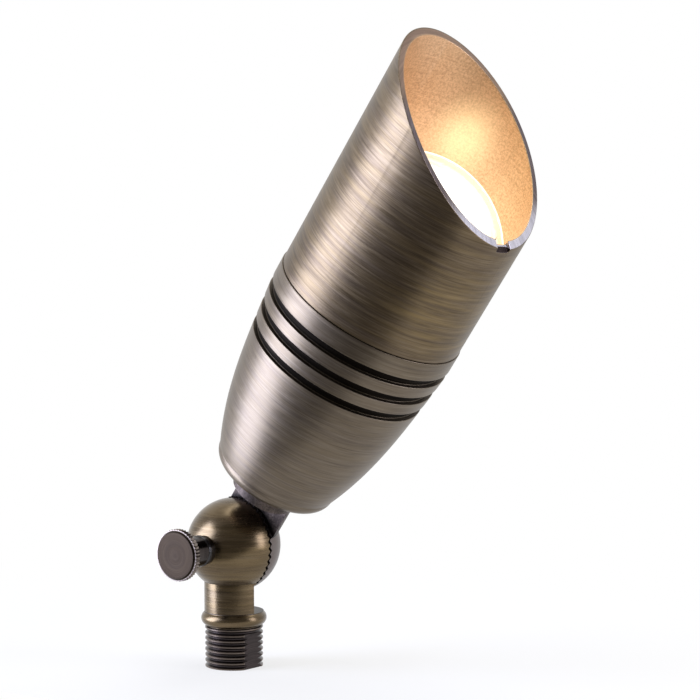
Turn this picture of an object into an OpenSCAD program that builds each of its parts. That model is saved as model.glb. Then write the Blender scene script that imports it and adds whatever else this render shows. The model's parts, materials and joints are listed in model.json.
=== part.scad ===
// Outdoor spotlight: a turned brass head on a toothed knuckle with a stake thread.
// Row frame: millimetres, +Z up, origin at the centre of the thread's bottom face.
// The tilt axis runs along Y, the thumbscrew is on the -Y side and the head leans to +X.
// Pieces of the head are drawn along its own axis from the tilt axis, then tilted.

/* [Stake thread] */
// Outside diameter of the thread that screws into the stake
thread_d = 20.95; // [19:0.05:24]
// Length of the thread
thread_l = 14.9; // [10:0.1:22]
// Distance from crest to crest
thread_pitch = 2; // [1.4:0.1:2.4]
// Depth of the thread
thread_depth = 0.85; // [0.4:0.05:1]
// Width of the flat on each crest
crest_w = 0.45; // [0.2:0.05:0.6]
// How deep the flat along the thread is milled
flat_depth = 1.2; // [0.2:0.05:1.4]
// How far under the bead the flat ends
flat_stop = 2.1; // [0.5:0.1:4]
// Direction that the milled flat faces, from +X
flat_turn = -4; // [-90:1:90]
// Diameter of the cable bore in the thread
cable_bore_d = 11; // [9:0.1:13]
// Height of the cable bore
cable_bore_h = 17; // [12:0.5:20]

/* [Cable bush] */
// Length of the bush
bush_l = 6; // [4:0.5:10]
// Diameter of the hole for the cable
bush_hole_d = 6.4; // [4:0.1:8]
// How far the bush sits up inside the thread
bush_inset = 0.4; // [0.1:0.1:2]

/* [Knuckle] */
// Height of the tilt axis above the thread's bottom
pivot_h = 44.1; // [40:0.1:52]
// Diameter of the ball that the two halves make
ball_d = 34; // [32:0.1:38]
// Diameter of the neck below the ball
neck_d = 21.4; // [20:0.1:24]
// Diameter of the bead above the thread
bead_d = 23.7; // [22.8:0.1:27]
// Height of the bead
bead_h = 5.4; // [4:0.1:6.5]
// Radius of the fillet from the bead to the neck
bead_fillet = 0.8; // [0.4:0.1:1.6]
// How far each neck is milled back from the toothed faces
relief = 1.5; // [1:0.1:3]
// Number of teeth on each face
teeth = 45; // [30:1:60]
// Depth of the teeth at the ball's edge
tooth_depth = 1; // [0.5:0.05:1.3]
// Inner diameter of the ring of teeth
tooth_ring_d = 21; // [19:0.5:24]
// Gap between the two toothed faces
face_gap = 0.16; // [0.1:0.02:0.3]
// Diameter of the hollow round the screw, where the wires cross the joint
hollow_d = 13.4; // [12:0.1:16]
// Depth of that hollow in each half
hollow_depth = 8; // [7.8:0.1:9]
// Diameter of the wire holes that lead into the hollow
wire_hole_d = 3.8; // [2.5:0.1:4]
// Distance of the wire holes from the toothed faces
wire_hole_y = 5.6; // [5.5:0.1:5.8]

/* [Thumbscrew] */
// Distance from the tilt plane to the front of the boss on the ball
boss_y = 18.2; // [17.5:0.1:20]
// Diameter of the boss
boss_d = 10.4; // [9:0.1:11]
// Thickness of the washer under the screw's shoulder
washer_t = 2.1; // [1:0.1:3]
// Diameter of the washer
washer_d = 11.2; // [10:0.1:12]
// Diameter of the screw's shoulder
shoulder_d = 10.8; // [9:0.1:11.5]
// Length of the shoulder
shoulder_l = 8.5; // [5:0.1:12]
// Diameter of the knurled head
knob_d = 18.4; // [15:0.1:22]
// Thickness of the knurled head
knob_t = 3.4; // [2.4:0.1:7]
// Number of knurls
knurls = 48; // [30:1:72]
// Depth of the knurls
knurl_depth = 0.35; // [0.2:0.05:0.6]
// Chamfer on the head's edges
knob_chamfer = 0.6; // [0.5:0.05:0.9]
// Diameter of the screw's thread
screw_d = 6; // [5:0.1:7]
// How far the screw reaches past the tilt plane
screw_reach = 12; // [10:0.1:13]
// Depth of the tapped hole past the tilt plane
tapped_depth = 13.4; // [13.2:0.1:14]

/* [Stem] */
// Angle of the head from upright, as it stands at rest
tilt = 35; // [0:1:80]
// Diameter of the stem that joins the ball to the housing
stem_d = 23.6; // [22:0.1:26]
// Distance from the tilt axis to the shoulder where the milled face ends
milled_l = 24; // [22:0.1:26]
// Thickness of the gasket between the stem and the housing
stem_gasket_t = 0.8; // [0.5:0.1:1.5]
// Diameter of the threaded stud on the stem
stud_d = 16; // [15:0.1:17]
// Diameter of the bore in the stud
stud_bore_d = 10.8; // [10.4:0.1:11.4]
// Thickness of the washer inside the housing
stem_washer_t = 1.3; // [0.8:0.1:2]
// Diameter of that washer
stem_washer_d = 26; // [24:0.5:30]
// Width of the lock nut across its flats
nut_flats = 22; // [20:0.5:24]
// Thickness of the lock nut
nut_t = 5; // [3:0.1:7]
// How far the stud stands past the nut
stud_past_nut = 1.5; // [0.5:0.1:3]
// Thickness of the flange of the wire seal plug
plug_flange_t = 1.5; // [1:0.1:3]
// Length of the seal plug inside the stud
plug_l = 7; // [4:0.5:10]

/* [Housing] */
// Distance from the tilt axis to the housing's bottom face
housing_s = 30.7; // [28:0.1:36]
// Length of the housing up to the joint with the shroud
housing_l = 77.4; // [74:0.1:90]
// Diameter at the bottom, above the rounded corner
housing_bottom_d = 45.4; // [44:0.1:50]
// How far the collar at the joint stands out past the shroud
collar_step = 0.35; // [0:0.05:0.6]
// Radius of the rounded corner at the bottom
housing_corner = 5; // [2:0.1:6]
// How far the side bows out from a straight taper
housing_bow = 2.4; // [1:0.1:3]
// How much of that bow lies towards the bottom
housing_bow_bias = 0.9; // [0:0.1:1]
// Height of the plain collar above the bowed side
collar_l = 8.5; // [7.5:0.1:10]
// Number of turned grooves
grooves = 3; // [1:1:4]
// Width of a groove
groove_w = 3.1; // [2:0.1:4]
// Depth of a groove
groove_depth = 1.9; // [1:0.1:2.2]
// Distance from groove to groove
groove_pitch = 7.65; // [6:0.05:9]
// Distance from the joint down to the first groove's middle
groove_1 = 8.6; // [7:0.1:10]
// Thickness of the bottom wall
floor_t = 4; // [3:0.1:5]
// Diameter of the wiring chamber at its floor
chamber_bottom_d = 36; // [34:0.5:38]
// Wall of the lamp chamber behind the O-ring's groove
spigot_wall = 1.6; // [1.2:0.1:2]
// Width of the ledge that the bracket lies on
ledge_w = 2.3; // [2:0.1:3]
// Distance from the joint down to the ledge that the bracket lies on
ledge_down = 34; // [30:0.1:36]

/* [Shroud] */
// Outside diameter of the shroud
shroud_d = 68.3; // [64:0.1:74]
// Wall of the shroud
shroud_wall = 2.6; // [2.2:0.1:2.8]
// Length of the shroud along its middle
shroud_l = 69.8; // [64:0.1:80]
// Slant of the mouth
mouth_angle = 31.7; // [0:0.1:34]
// How far the mouth bows out from a flat cut
mouth_bow = 1.5; // [0.5:0.1:3]
// Width of the weep notch
notch_w = 7.2; // [4:0.1:10]
// Depth of the weep notch
notch_depth = 1.25; // [0.5:0.05:2.5]
// Corner radius of the weep notch
notch_corner = 0.8; // [0.2:0.1:1]
// Turn of the weep notch round the shroud
notch_turn = -4; // [-20:1:20]
// Chamfer on the shroud's lower edge
joint_chamfer = 0.3; // [0.1:0.05:0.5]
// Length of the threaded spigot under the shroud
spigot_l = 8.4; // [8:0.1:12]
// Pitch of the spigot's thread
spigot_pitch = 1.5; // [1:0.1:2]
// Section diameter of the O-ring
o_ring_t = 2.4; // [1.8:0.1:2.6]
// Distance from the joint up to the O-ring's middle
o_ring_up = 3; // [2:0.1:4]

/* [Lens] */
// Distance from the joint up to the underside of the lens flange
lens_up = 33; // [31:0.1:36]
// Thickness of the lens flange
flange_t = 3; // [2:0.1:4]
// Radius of the lens dome
dome_r = 33.8; // [33:0.1:37]
// Height of the dome's straight edge above the flange
dome_rise = 1.78; // [1.6:0.02:2.4]
// Thickness of the glass
glass_t = 3; // [2:0.1:4]
// Thickness of the lens gasket
lens_gasket_t = 0.8; // [0.5:0.1:1.5]
// Height of the lip above the gasket
lip_h = 1; // [0.6:0.1:2]
// How far the lip stands inward
lip_w = 0.9; // [0.5:0.1:1.2]
// Height of the ring that holds the lens
ring_h = 4; // [2:0.1:6]
// Radial width of that ring
ring_w = 3; // [2:0.1:4]

/* [Lamp and socket] */
// Thickness of the socket bracket
bracket_t = 1.2; // [0.8:0.1:2]
// Diameter of the hole for the leads in the bracket
bracket_hole_d = 12; // [8:0.5:13]
// Distance of the bracket screws from the lamp chamber's wall
bracket_screw_in = 4.3; // [4:0.1:5]
// Height of the ceramic socket
socket_h = 11; // [8:0.1:14]
// Length of the socket
socket_l = 30; // [28:0.5:34]
// Width of the socket
socket_w = 12; // [10:0.5:16]
// Height of the socket's ears
ear_h = 4; // [3:0.1:6]
// Distance between the socket screws
socket_screw_span = 23; // [22:0.5:26]
// Distance between the lamp's pins
pin_span = 5.3; // [5:0.1:6.35]
// Diameter of the lamp's pins
pin_d = 1.45; // [1:0.05:1.6]
// Length of the lamp's pins
pin_l = 7; // [5:0.1:8]
// Height of the lamp's base
lamp_base_h = 12; // [8:0.1:14]
// Height of the lamp's reflector
reflector_h = 34; // [28:0.1:36]
// Clearance from the reflector's rim to the lamp chamber
lamp_clearance = 2.5; // [1.5:0.1:4]
// Diameter of the reflector where it meets the base
reflector_neck_d = 19; // [16:0.1:22]
// Wall of the reflector
reflector_wall = 1.4; // [1:0.1:2]
// Diameter of the light source
emitter_d = 14; // [8:0.5:15]
// Thickness of the light source
emitter_t = 2; // [1:0.1:3]
// Thickness of the lamp's face glass
face_glass_t = 1.6; // [1:0.1:3]
// Diameter of the leads
lead_d = 1.9; // [1.2:0.1:2.2]
// Shank diameter of the small screws
small_screw_d = 3; // [2.5:0.1:3.5]

/* [Hidden] */
$fn = 96;

// Clearances, named once: turning fits, plain holes, and faces that pass each other
fit = 0.06;
loose = 0.15;
face_fit = 0.1;
// Extra length that lets a cut run past the face it opens
over = 1;
// How far the parts of one solid run into each other
sink = 0.2;

// Small fixed sizes and shares
mill_sink = 0.3;
core_inset = 0.1;
root_share = 0.8;
tooth_share = 0.46;
washer_round = 0.3;
gasket_inset = 0.4;
contact_wall = 0.8;
contact_gap = 0.5;
contact_short = 0.3;
screw_tip = 2;
slot_w = 0.5;
block_gap = 1;
face_glass_inset = 0.25;
boss_wall = 1.8;
screw_boss_l = 12;
screw_l = 9;

ball_r = ball_d / 2;
neck_r = neck_d / 2;
stem_r = stem_d / 2;
thread_r = thread_d / 2;
flat_x = thread_r - flat_depth;
bead_mid_z = thread_l + bead_h / 2;
bead_round_r = bead_h / 2;
bead_c = bead_d / 2 - bead_round_r;
// Where the fillet runs from the bead's round to the neck, and the floor of the milling
fillet_x = neck_r + bead_fillet - bead_c;
fillet_z = bead_mid_z + sqrt(pow(bead_round_r + bead_fillet, 2) - fillet_x * fillet_x);
fillet_turn = acos(fillet_x / (bead_round_r + bead_fillet));
mill_z = bead_mid_z + bead_round_r - mill_sink;
swing_r = ball_r + 2 * face_gap;
wire_hole_r = wire_hole_d / 2;
screw_hole_r = screw_d / 2 + fit;
washer_y = boss_y + washer_t;
knob_back_y = washer_y + shoulder_l;
knob_front_y = knob_back_y + knob_t;

// The plain core of the knurled head, just inside the bottoms of the knurls
knob_core_r = knob_d / 2 - knurl_depth - core_inset;

// Stations along the head's axis, measured from the tilt axis
stem_top_s = housing_s - stem_gasket_t;
floor_s = housing_s + floor_t;
stem_washer_s = floor_s;
nut_s = stem_washer_s + stem_washer_t;
stud_end_s = nut_s + nut_t + stud_past_nut;
stud_bore_s = milled_l + over;
// Where the leads end, inside the seal plug
lead_s = stud_end_s - plug_l / 2;
joint_s = housing_s + housing_l;
collar_s = joint_s - collar_l;
taper_s = housing_s + housing_corner;
ledge_s = joint_s - ledge_down;
spigot_top_s = joint_s + spigot_l;
bracket_top_s = ledge_s + bracket_t;
socket_top_s = bracket_top_s + socket_h;
lamp_base_top_s = socket_top_s + lamp_base_h;
rim_s = lamp_base_top_s + reflector_h;
lens_s = joint_s + lens_up;
flange_top_s = lens_s + flange_t;
lip_s = flange_top_s + lens_gasket_t + face_fit;
mouth_s = joint_s + shroud_l;

shroud_r = shroud_d / 2;
shroud_bore_r = shroud_r - shroud_wall;
spigot_r = shroud_bore_r - fit;
o_ring_r = spigot_r - o_ring_t / 2;
lip_r = shroud_bore_r - lip_w;
dome_edge_r = lip_r - 2 * loose;
dome_s = flange_top_s + dome_rise - sqrt(dome_r * dome_r - dome_edge_r * dome_edge_r);
housing_top_d = shroud_d + 2 * collar_step;
lamp_chamber_r = spigot_r - o_ring_t - spigot_wall;
chamber_top_d = 2 * (lamp_chamber_r - ledge_w);
bracket_screw_r = lamp_chamber_r - bracket_screw_in;
reflector_d = 2 * (lamp_chamber_r - lamp_clearance);
stud_r = stud_d / 2;
stud_bore_r = stud_bore_d / 2;
plug_flange_r = (stud_r + stud_bore_r) / 2;
small_r = small_screw_d / 2;
small_head_r = small_screw_d * 0.95;
small_head_h = small_screw_d * 0.6;
small_head_top_r = small_screw_d * 0.76;
screw_boss_r = small_r + boss_wall;
contact_r = pin_d / 2 + contact_wall;
contact_l = pin_l + contact_gap;
socket_screw_l = ear_h + bracket_t + screw_tip;
mouth_half = shroud_r / cos(mouth_angle);
mouth_round_r = (mouth_half * mouth_half + mouth_bow * mouth_bow) / (2 * mouth_bow);
// Slope of the bowed mouth at the shroud's short side
notch_angle = mouth_angle + asin(mouth_half / mouth_round_r);

// Radius of the housing's side at station s, bowed out from a straight taper
function side_t(s) = (s - taper_s) / (collar_s - taper_s);
function side_r(s) = let (t = min(1, max(0, side_t(s))))
    (housing_bottom_d * (1 - t) + housing_top_d * t) / 2
    + 4 * housing_bow * t * (1 - t) * (1 + housing_bow_bias * (0.5 - t));

// Points of an arc of radius r round c, from angle a to angle b
function arc(c, r, a, b, steps) =
    [for (i = [0:steps]) let (w = a + (b - a) * i / steps) [c[0] + r * cos(w), c[1] + r * sin(w)]];

// Places a piece that is drawn along the head's axis
module in_head() {
    translate([0, 0, pivot_h]) rotate([0, tilt, 0]) children();
}

// A cylinder along the tilt axis between two distances from the tilt plane
module along_y(r, from, to) {
    translate([0, from, 0]) rotate([-90, 0, 0]) cylinder(r = r, h = to - from);
}

// A flat ring that starts at station s
module ring(outer, inner, s, h) {
    translate([0, 0, s]) difference() {
        cylinder(r = outer, h = h);
        translate([0, 0, -over]) cylinder(r = inner, h = h + 2 * over);
    }
}

// Radial V grooves in the face y = 0 of a half that lies on the -Y side
module tooth_grooves() {
    half_angle = atan(tooth_share * 360 / teeth * PI / 180 * ball_r / tooth_depth);
    reach = tooth_depth + over;
    inner = tooth_ring_d / 2 - over;
    for (i = [0:teeth - 1]) rotate([0, i * 360 / teeth, 0])
        rotate([0, 0, -atan(tooth_depth / ball_r)]) translate([inner, 0, 0])
            rotate([90, 0, 90]) linear_extrude(ball_r + over - inner)
                polygon([[0, 0], [reach, reach * tan(half_angle)], [reach, -reach * tan(half_angle)]]);
}

// Cuts that both halves share, for the half on the -Y side with its neck along -Z:
// the neck is milled down to neck_end and the wire hole runs down to wire_end
module joint_cuts(neck_end, wire_end) {
    far = 2 * ball_d;
    // the mating plane, up to where the milling ends on the neck
    translate([-far / 2, -face_gap / 2, -neck_end]) cube([far, far, far]);
    // the neck beyond the toothed disc, milled further back
    difference() {
        translate([-far / 2, -relief, -neck_end]) cube([far, far, neck_end]);
        along_y(swing_r, -far, far);
    }
    translate([0, -face_gap / 2, 0]) tooth_grooves();
    // the step inside the ring of teeth, the wire hollow and the wire hole
    along_y(tooth_ring_d / 2, -face_gap / 2 - tooth_depth, over);
    along_y(hollow_d / 2, -hollow_depth, over);
    translate([0, -wire_hole_y, -wire_end]) cylinder(r = wire_hole_r, h = wire_end);
}

// Outline of the stake thread: one ridge after another, up to the bead
function thread_points() =
    let (root = thread_r - thread_depth, turns = floor((thread_l - crest_w) / thread_pitch),
         flank = (thread_pitch - crest_w) / 2)
    [for (i = [0:turns]) let (z = i * thread_pitch)
        each [[thread_r, z], [thread_r, z + crest_w],
              if (i < turns) [root, z + crest_w + flank * root_share],
              if (i < turns) [root, z + thread_pitch - flank * root_share]]];

module lower_knuckle() {
    root = thread_r - thread_depth;
    color([0.47, 0.38, 0.24]) difference() {
        union() {
            difference() {
                rotate_extrude($fn = 128) polygon(concat([[0, 0]], thread_points(),
                    [[root, thread_l - sink], [root, thread_l + over], [0, thread_l + over]]));
                rotate([0, 0, flat_turn]) translate([flat_x, -thread_r, -over])
                    cube([thread_r, thread_d, thread_l - flat_stop + over]);
            }
            // the bead with its fillet up to the neck
            rotate_extrude($fn = 128) polygon(concat([[0, thread_l]],
                arc([bead_c, bead_mid_z], bead_round_r, -90, fillet_turn, 20),
                arc([neck_r + bead_fillet, fillet_z], bead_fillet, 180 + fillet_turn, 180, 6),
                [[neck_r, fillet_z + over], [0, fillet_z + over]]));
            translate([0, 0, bead_mid_z]) cylinder(r = neck_r, h = pivot_h - bead_mid_z);
            translate([0, 0, pivot_h]) sphere(r = ball_r, $fn = 128);
            translate([0, 0, pivot_h]) along_y(boss_d / 2, -boss_y, -ball_r / 2);
        }
        translate([0, 0, pivot_h]) joint_cuts(pivot_h - mill_z, pivot_h - cable_bore_h + over);
        translate([0, 0, pivot_h]) along_y(screw_hole_r, -boss_y - over, 0);
        translate([0, 0, -over]) cylinder(r = cable_bore_d / 2, h = cable_bore_h + over);
    }
}

module cable_bush() {
    color([0.12, 0.12, 0.12]) ring(cable_bore_d / 2 - fit, bush_hole_d / 2, bush_inset, bush_l);
}

// Outline of the knurled head, with straight V knurls
function knurl_points() = [for (i = [0:2 * knurls - 1])
    let (a = 180 * i / knurls, r = knob_d / 2 - (i % 2) * knurl_depth) [r * cos(a), r * sin(a)]];

module thumbscrew() {
    c = knob_chamfer;
    color([0.42, 0.36, 0.32]) translate([0, 0, pivot_h]) {
        translate([0, -knob_back_y, 0]) rotate([90, 0, 0]) {
            translate([0, 0, c]) linear_extrude(knob_t - 2 * c) polygon(knurl_points());
            rotate_extrude($fn = 128) polygon([[0, 0], [knob_core_r - c, 0], [knob_core_r, c],
                [knob_core_r, knob_t - c], [knob_core_r - c, knob_t], [0, knob_t]]);
        }
        along_y(shoulder_d / 2, -knob_back_y - over, -washer_y);
        along_y(screw_d / 2, -washer_y - over, screw_reach);
    }
}

module thumbscrew_washer() {
    edge = washer_t * washer_round;
    inner = screw_hole_r + loose;
    color([0.13, 0.12, 0.12]) translate([0, -boss_y, pivot_h]) rotate([90, 0, 0])
        rotate_extrude() polygon(concat([[inner, 0]],
            arc([washer_d / 2 - edge, edge], edge, -90, 0, 8),
            arc([washer_d / 2 - edge, washer_t - edge], edge, 0, 90, 8), [[inner, washer_t]]));
}

module upper_knuckle() {
    color([0.38, 0.32, 0.27]) in_head() difference() {
        union() {
            sphere(r = ball_r, $fn = 128);
            cylinder(r = stem_r, h = stem_top_s);
            cylinder(r = stud_r, h = stud_end_s);
        }
        rotate([180, 0, 0]) joint_cuts(milled_l, stud_bore_s + over);
        along_y(screw_hole_r, 0, tapped_depth);
        translate([0, 0, stud_bore_s]) cylinder(r = stud_bore_r, h = stud_end_s);
    }
}

module stem_gasket() {
    color([0.09, 0.09, 0.09]) in_head() ring(stem_r - gasket_inset, stud_r + loose, stem_top_s, stem_gasket_t);
}

module stem_washer() {
    color([0.7, 0.7, 0.72]) in_head() ring(stem_washer_d / 2, stud_r + loose, stem_washer_s, stem_washer_t);
}

module stem_nut() {
    color([0.75, 0.62, 0.35]) in_head() translate([0, 0, nut_s]) difference() {
        cylinder(d = nut_flats / cos(30), h = nut_t, $fn = 6);
        translate([0, 0, -over]) cylinder(r = stud_r + fit, h = nut_t + 2 * over);
    }
}

module wire_seal_plug() {
    color([0.1, 0.1, 0.1]) in_head() difference() {
        union() {
            translate([0, 0, stud_end_s - plug_l]) cylinder(r = stud_bore_r - fit, h = plug_l + plug_flange_t);
            translate([0, 0, stud_end_s]) cylinder(r = plug_flange_r, h = plug_flange_t);
        }
        for (side = [-1, 1]) translate([side * pin_span / 2, 0, lead_s])
            cylinder(d = lead_d, h = stud_end_s + plug_flange_t + over - lead_s);
    }
}

module housing_profile() {
    steps = 40;
    corner_c = [housing_bottom_d / 2 - housing_corner, taper_s];
    polygon(concat(
        [[0, housing_s]], arc(corner_c, housing_corner, -90, 0, 10),
        [for (i = [1:steps]) let (s = taper_s + (collar_s - taper_s) * i / steps) [side_r(s), s]],
        [[housing_top_d / 2, joint_s], [spigot_r, joint_s], [spigot_r, spigot_top_s], [0, spigot_top_s]]));
}

module housing_bores() {
    translate([0, 0, housing_s - over]) cylinder(r = stud_r + loose, h = floor_t + 2 * over);
    translate([0, 0, floor_s]) cylinder(d1 = chamber_bottom_d, d2 = chamber_top_d, h = ledge_s - floor_s);
    translate([0, 0, ledge_s]) cylinder(r = lamp_chamber_r, h = spigot_top_s - ledge_s + over);
}

module housing() {
    color([0.5, 0.45, 0.36]) in_head() difference() {
        union() {
            difference() {
                rotate_extrude($fn = 180) housing_profile();
                housing_bores();
            }
            // bosses for the bracket screws, cut back to the wall they grow from
            intersection() {
                for (side = [-1, 1]) translate([0, side * bracket_screw_r, ledge_s - screw_boss_l])
                    cylinder(r = screw_boss_r, h = screw_boss_l);
                translate([0, 0, floor_s]) cylinder(d1 = chamber_bottom_d + 2 * boss_wall,
                    d2 = chamber_top_d + 2 * boss_wall, h = ledge_s - floor_s);
            }
        }
        for (i = [0:grooves - 1]) let (s = joint_s - groove_1 - i * groove_pitch)
            ring(housing_top_d, side_r(s) - groove_depth, s - groove_w / 2, groove_w);
        ring(shroud_d, o_ring_r - o_ring_t / 2, joint_s + o_ring_up - o_ring_t / 2, o_ring_t);
        for (side = [-1, 1]) translate([0, side * bracket_screw_r, ledge_s - screw_l])
            cylinder(r = small_r + fit, h = screw_l + over);
    }
}

module housing_o_ring() {
    color([0.07, 0.07, 0.07]) in_head() translate([0, 0, joint_s + o_ring_up])
        rotate_extrude($fn = 128) translate([o_ring_r, 0]) circle(d = o_ring_t - 2 * fit, $fn = 32);
}

module socket_bracket() {
    color([0.72, 0.72, 0.74]) in_head() difference() {
        ring(lamp_chamber_r - loose, bracket_hole_d / 2, ledge_s, bracket_t);
        for (side = [-1, 1]) translate([0, side * bracket_screw_r, ledge_s - over])
            cylinder(r = small_r + loose, h = bracket_t + 2 * over);
        for (side = [-1, 1]) translate([side * socket_screw_span / 2, 0, ledge_s - over])
            cylinder(r = small_r + fit, h = bracket_t + 2 * over);
    }
}

// A pan head screw whose head sits at station s, at (x, y) in the head's frame
module small_screw(x, y, s, length) {
    translate([x, y, s]) {
        translate([0, 0, -length]) cylinder(r = small_r, h = length + sink);
        difference() {
            cylinder(r1 = small_head_r, r2 = small_head_top_r, h = small_head_h);
            for (turn = [0, 90]) rotate([0, 0, turn]) translate([-small_r, -slot_w / 2, small_head_h / 2])
                cube([small_screw_d, slot_w, small_head_h]);
        }
    }
}

module bracket_screws() {
    color([0.75, 0.75, 0.77]) in_head() for (side = [-1, 1])
        small_screw(0, side * bracket_screw_r, bracket_top_s, screw_l - 1);
}

module lamp_socket() {
    // the block takes its length from the ears, which reach past the screws
    block_l = socket_screw_span - 2 * (small_head_r + block_gap);
    color([0.93, 0.92, 0.87]) in_head() translate([0, 0, bracket_top_s]) difference() {
        union() {
            translate([-block_l / 2, -socket_w / 2, 0]) cube([block_l, socket_w, socket_h]);
            translate([-socket_l / 2, -socket_w / 2, 0]) cube([socket_l, socket_w, ear_h]);
        }
        for (side = [-1, 1]) {
            translate([side * pin_span / 2, 0, socket_h - contact_l]) cylinder(r = contact_r + fit, h = socket_h);
            translate([side * pin_span / 2, 0, -over]) cylinder(d = lead_d + 2 * fit, h = socket_h);
            translate([side * socket_screw_span / 2, 0, -over]) cylinder(r = small_r + loose, h = socket_h);
        }
    }
}

module socket_screws() {
    color([0.75, 0.75, 0.77]) in_head() for (side = [-1, 1])
        small_screw(side * socket_screw_span / 2, 0, bracket_top_s + ear_h, socket_screw_l);
}

module socket_contacts() {
    color([0.8, 0.65, 0.35]) in_head() for (side = [-1, 1]) translate([side * pin_span / 2, 0, 0])
        ring(contact_r, pin_d / 2 + fit, socket_top_s - contact_l, contact_l - contact_short);
}

// A lead from the bottom of its hole in the seal plug up to the socket's contact
module lead(side) {
    in_head() translate([side * pin_span / 2, 0, lead_s])
        cylinder(d = lead_d - 2 * fit, h = socket_top_s - contact_l - lead_s);
}

module black_lead() { color([0.05, 0.05, 0.05]) lead(-1); }

module white_lead() { color([0.9, 0.9, 0.9]) lead(1); }

module lamp_pins() {
    color([0.78, 0.78, 0.8]) in_head() for (side = [-1, 1])
        translate([side * pin_span / 2, 0, socket_top_s - pin_l]) cylinder(d = pin_d, h = pin_l + over);
}

module lamp_base() {
    base_r = reflector_neck_d / 2 - reflector_wall;
    color([0.9, 0.9, 0.9]) in_head() translate([0, 0, socket_top_s]) difference() {
        cylinder(r = base_r, h = lamp_base_h);
        for (side = [-1, 1]) translate([side * pin_span / 2, 0, -over])
            cylinder(d = pin_d + 2 * fit, h = 2 * over);
    }
}

// Radius of the reflector's inside at height h above its neck
function cup_r(h) = let (a = reflector_neck_d / 2 - reflector_wall, b = reflector_d / 2 - reflector_wall)
    sqrt(a * a + (b * b - a * a) * h / reflector_h);

module lamp_reflector() {
    steps = 16;
    heights = [for (i = [0:steps]) reflector_h * i / steps];
    color([0.85, 0.85, 0.87]) in_head() translate([0, 0, lamp_base_top_s]) rotate_extrude($fn = 128)
        polygon(concat(
            [[0, 0], [reflector_neck_d / 2, 0]],
            [for (h = heights) if (h > 0) [cup_r(h) + reflector_wall, h]],
            [for (i = [steps:-1:0]) [cup_r(heights[i]), max(heights[i], reflector_wall)]],
            [[0, reflector_wall]]));
}

module led_emitter() {
    color([1, 0.93, 0.7]) in_head() translate([0, 0, lamp_base_top_s + reflector_wall])
        cylinder(d = emitter_d, h = emitter_t);
}

module lamp_face_glass() {
    color([0.9, 0.95, 1, 0.4]) in_head() translate([0, 0, rim_s])
        cylinder(d = reflector_d - 2 * face_glass_inset, h = face_glass_t);
}

module lens() {
    color([0.85, 0.92, 0.95, 0.5]) in_head() difference() {
        union() {
            translate([0, 0, lens_s]) cylinder(r = shroud_bore_r - loose, h = flange_t);
            intersection() {
                translate([0, 0, dome_s]) sphere(r = dome_r, $fn = 180);
                translate([0, 0, lens_s]) cylinder(r = dome_edge_r, h = dome_r);
            }
        }
        translate([0, 0, dome_s]) sphere(r = dome_r - glass_t, $fn = 180);
    }
}

module lens_gasket() {
    color([0.75, 0.74, 0.7]) in_head()
        ring(shroud_bore_r - loose, lip_r - loose, flange_top_s, lens_gasket_t);
}

module lens_retaining_ring() {
    color([0.5, 0.45, 0.36]) in_head()
        ring(shroud_bore_r - fit, shroud_bore_r - ring_w, lens_s - face_fit - ring_h, ring_h);
}

// The weep notch, cut square to the bowed mouth at the shroud's short side
module weep_notch() {
    c = notch_corner;
    rim_z = mouth_s - shroud_r * tan(mouth_angle) - mouth_bow / cos(mouth_angle);
    reach = 3 * shroud_wall;
    rotate([0, 0, notch_turn]) translate([shroud_r, 0, rim_z]) rotate([0, notch_angle, 0])
        translate([-reach / 2, 0, -notch_depth]) {
            translate([0, -notch_w / 2, c]) cube([reach, notch_w, 2 * notch_depth + reach]);
            translate([0, c - notch_w / 2, 0]) cube([reach, notch_w - 2 * c, 2 * c]);
            for (side = [-1, 1]) translate([0, side * (notch_w / 2 - c), c])
                rotate([0, 90, 0]) cylinder(r = c, h = reach, $fn = 32);
        }
}

module shroud() {
    top = mouth_s + shroud_d;
    color([0.52, 0.47, 0.38]) in_head() difference() {
        intersection() {
            union() {
                translate([0, 0, joint_s]) cylinder(r1 = shroud_r - joint_chamfer, r2 = shroud_r,
                    h = joint_chamfer, $fn = 180);
                translate([0, 0, joint_s + joint_chamfer])
                    cylinder(r = shroud_r, h = top - joint_s - joint_chamfer, $fn = 180);
            }
            // the bowed mouth: the inside of a large round whose edge is the cut
            translate([0, 0, mouth_s]) rotate([0, mouth_angle, 0]) translate([0, 0, -mouth_round_r])
                rotate([90, 0, 0]) cylinder(r = mouth_round_r, h = 2 * shroud_d, center = true, $fn = 720);
        }
        translate([0, 0, joint_s - over]) cylinder(r = shroud_bore_r, h = lip_s - joint_s + over, $fn = 180);
        translate([0, 0, lip_s - over]) cylinder(r = lip_r, h = lip_h + 2 * over, $fn = 180);
        translate([0, 0, lip_s + lip_h]) cylinder(r = shroud_bore_r, h = top, $fn = 180);
        weep_notch();
    }
}

lower_knuckle();
cable_bush();
thumbscrew();
thumbscrew_washer();
upper_knuckle();
stem_gasket();
stem_washer();
stem_nut();
wire_seal_plug();
housing();
housing_o_ring();
socket_bracket();
bracket_screws();
lamp_socket();
socket_screws();
socket_contacts();
black_lead();
white_lead();
lamp_pins();
lamp_base();
lamp_reflector();
led_emitter();
lamp_face_glass();
lens();
lens_gasket();
lens_retaining_ring();
shroud();
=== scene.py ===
"""Dresses the outdoor spotlight: aged turned brass, a rough stem, a black thread and a lit lens."""

import json
import logging
import math
from dataclasses import dataclass
from enum import Enum
from typing import Dict, List, Optional, Sequence, Tuple, Union

import bpy
from mathutils import Matrix, Vector

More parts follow.
